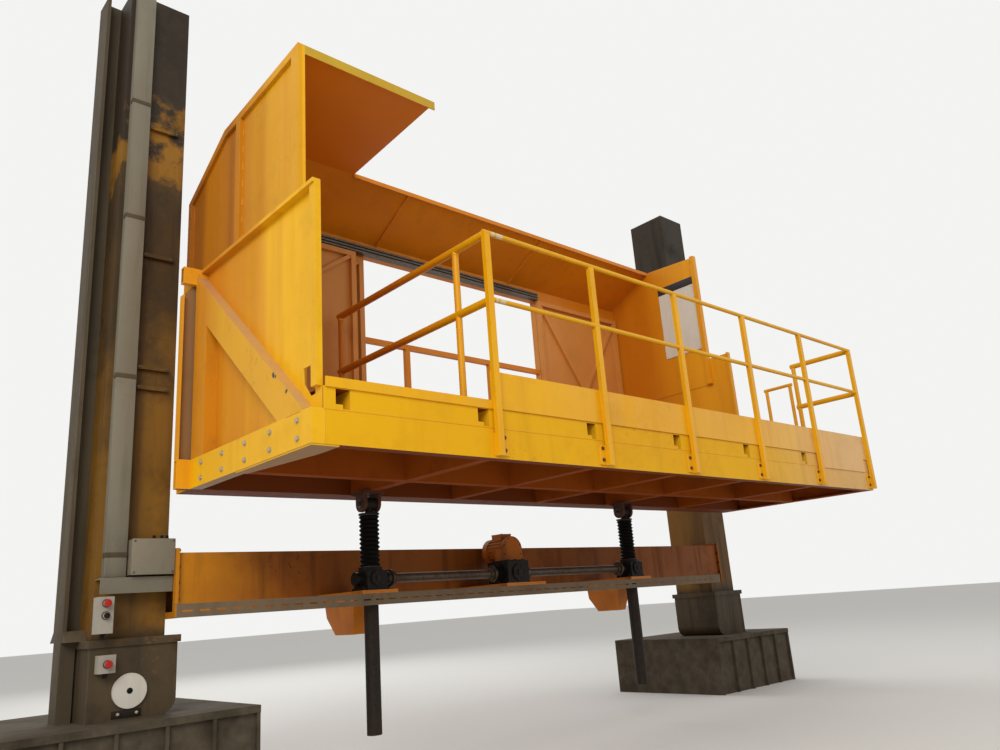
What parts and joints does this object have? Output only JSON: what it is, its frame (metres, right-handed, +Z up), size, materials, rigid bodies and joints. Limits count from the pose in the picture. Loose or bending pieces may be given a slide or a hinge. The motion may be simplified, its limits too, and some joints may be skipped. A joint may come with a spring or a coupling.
{
  "type": "jack-lifted hooded work platform on a column stand",
  "caption": "Yellow hooded steel work platform with guard rails, lifted by screw jacks on a beam between two columns of a mill stand.",
  "frame": {"origin": "floor level at the centre of the footprint, midway between the two columns", "axes": "+X to the right along the platform as seen from its railed front, +Y towards the back, +Z up"},
  "size_m": [7.366, 2.84, 5.3],
  "materials": {
    "platform_paint": "worn yellow gloss paint",
    "shaded_paint": "worn yellow-orange paint",
    "beam_paint": "oily orange-yellow paint",
    "column_paint": "dirty olive-brown paint with old yellow patches",
    "bare_steel": "dull oxidised steel",
    "machine_black": "black machine paint with grease",
    "bellows_rubber": "dusty black rubber",
    "grey_paint": "dusty light grey paint",
    "white_paint": "plain white enamel",
    "kerb_concrete": "cast concrete"
  },
  "bodies": {
    "stand": {"jack_gearboxes": "machine_black", "jack_tubes": "bare_steel", "jack_consoles": "beam_paint", "drive_gearbox": "machine_black", "drive_motor": "beam_paint", "line_shafts": "bare_steel", "cross_beam": "beam_paint", "cable_tray": "grey_paint", "column_left": "column_paint", "column_right": "column_paint", "guide_rails": "grey_paint", "cable_trunking": "grey_paint", "control_boxes": "grey_paint", "hub_cover": "white_paint", "plinths": "kerb_concrete"},
    "platform": {"front_beam": "platform_paint", "rear_beam": "platform_paint", "cross_channels": "shaded_paint", "deck_stringers": "shaded_paint", "deck_joists": "shaded_paint", "deck_plate": "platform_paint", "toe_board": "platform_paint", "guard_posts": "platform_paint", "guard_rails": "platform_paint", "side_rails": "platform_paint", "back_rails": "shaded_paint", "end_sill": "platform_paint", "end_brace": "platform_paint", "rear_corner_post": "platform_paint", "end_shield": "platform_paint", "end_panel": "platform_paint", "station_post": "platform_paint", "canopy": "shaded_paint", "hood": "shaded_paint", "door_header": "shaded_paint", "door_track": "bare_steel", "door_leaves": "shaded_paint", "door_jambs": "shaded_paint", "end_wall": "platform_paint", "end_wall_skirt": "platform_paint", "notice_board": "white_paint", "jack_lugs": "bare_steel", "jack_screws": "bare_steel", "bellows_left": "bellows_rubber", "bellows_right": "bellows_rubber"}
  },
  "joints": [
    {"name": "platform_lift", "type": "slide", "parent": "stand", "child": "platform", "axis": [0, 0, 1], "range_m": [-0.15, 0.6], "deforming": ["bellows_left", "bellows_right"]}
  ]
}
